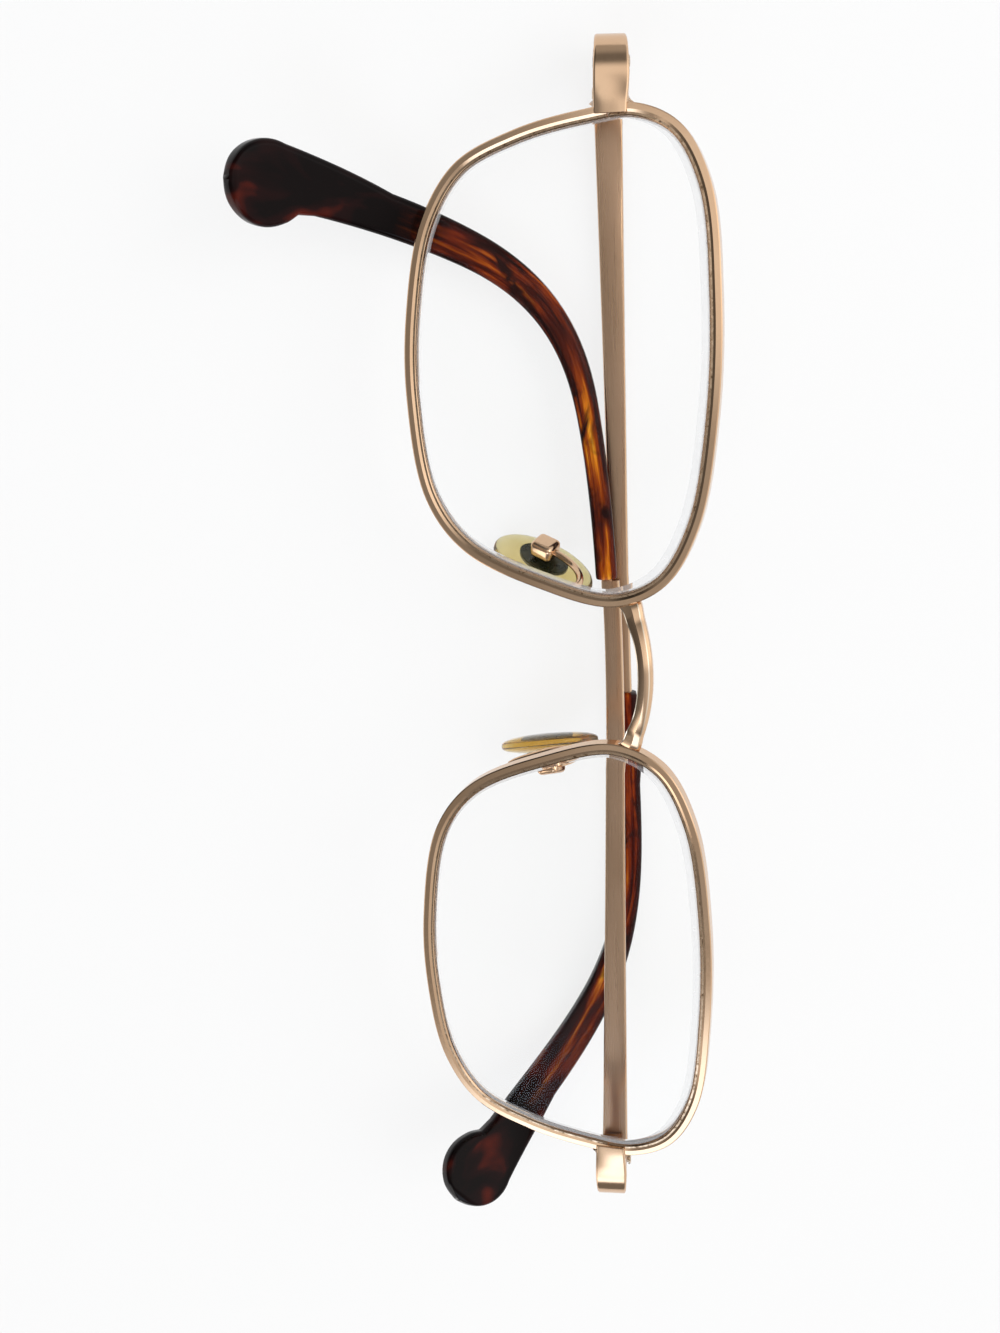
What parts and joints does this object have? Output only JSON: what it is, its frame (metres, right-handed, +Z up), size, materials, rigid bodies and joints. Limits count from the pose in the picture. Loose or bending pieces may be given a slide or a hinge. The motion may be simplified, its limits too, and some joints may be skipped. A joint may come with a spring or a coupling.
{
  "type": "reading glasses",
  "caption": "Folded metal-rimmed reading glasses with clear lenses, hinged flat temples, mottled brown ear tips and rocking nose pads on wire arms.",
  "frame": {"origin": "centre of the folded glasses' footprint, on the surface they lie on", "axes": "+X from the wearer's right hinge to the left hinge, +Y to the brow, +Z up from the surface, towards the lenses' front"},
  "size_m": [0.1408, 0.0532, 0.0198],
  "materials": {
    "rim_gold": "satin",
    "strip_bronze": "brushed",
    "screw_steel": "satin",
    "tortoiseshell": "polished",
    "pad_amber": "translucent",
    "lens_clear": "clear"
  },
  "bodies": {
    "front": {"bridge": "rim_gold", "left_endpiece": "rim_gold", "left_front_hinge": "rim_gold", "left_hinge_screw": "screw_steel", "left_lens": "lens_clear", "left_pad_arm": "rim_gold", "left_pad_box": "rim_gold", "left_pad_pin": "screw_steel", "left_rim": "rim_gold", "left_rim_block_lower": "rim_gold", "left_rim_block_upper": "rim_gold", "left_rim_screw": "screw_steel", "right_endpiece": "rim_gold", "right_front_hinge": "rim_gold", "right_hinge_screw": "screw_steel", "right_lens": "lens_clear", "right_pad_arm": "rim_gold", "right_pad_box": "rim_gold", "right_pad_pin": "screw_steel", "right_rim": "rim_gold", "right_rim_block_lower": "rim_gold", "right_rim_block_upper": "rim_gold", "right_rim_screw": "screw_steel"},
    "right_temple_arm": {"right_temple": "strip_bronze", "right_temple_tip": "tortoiseshell", "right_temple_hinge": "rim_gold"},
    "left_temple_arm": {"left_temple": "strip_bronze", "left_temple_tip": "tortoiseshell", "left_temple_hinge": "rim_gold"},
    "right_pad": {"right_nose_pad": "pad_amber", "right_pad_insert": "screw_steel"},
    "left_pad": {"left_nose_pad": "pad_amber", "left_pad_insert": "screw_steel"}
  },
  "joints": [
    {"name": "right_temple_swing", "type": "hinge", "parent": "front", "child": "right_temple_arm", "pos_m": [-0.06784, 0.01368, 0.00293], "axis": [0.0078, 0.9925, -0.1218], "range_deg": [0, 91]},
    {"name": "left_temple_swing", "type": "hinge", "parent": "front", "child": "left_temple_arm", "pos_m": [0.06358, 0.01411, 0.01143], "axis": [-0.0034, -0.9986, 0.0524], "range_deg": [0, 94]},
    {"name": "right_pad_rock", "type": "hinge", "parent": "front", "child": "right_pad", "pos_m": [-0.01446, 0.00603, 0.00486], "axis": [0.3262, -0.4654, 0.8228], "range_deg": [-3.4, 5]},
    {"name": "left_pad_rock", "type": "hinge", "parent": "front", "child": "left_pad", "pos_m": [0.01124, 0.00638, 0.00655], "axis": [-0.2683, -0.4377, 0.8582], "range_deg": [-3.4, 10.6]}
  ],
  "couplings": [
    {"joint": "left_temple_swing", "follows": "right_temple_swing", "ratio": 0.4}
  ]
}
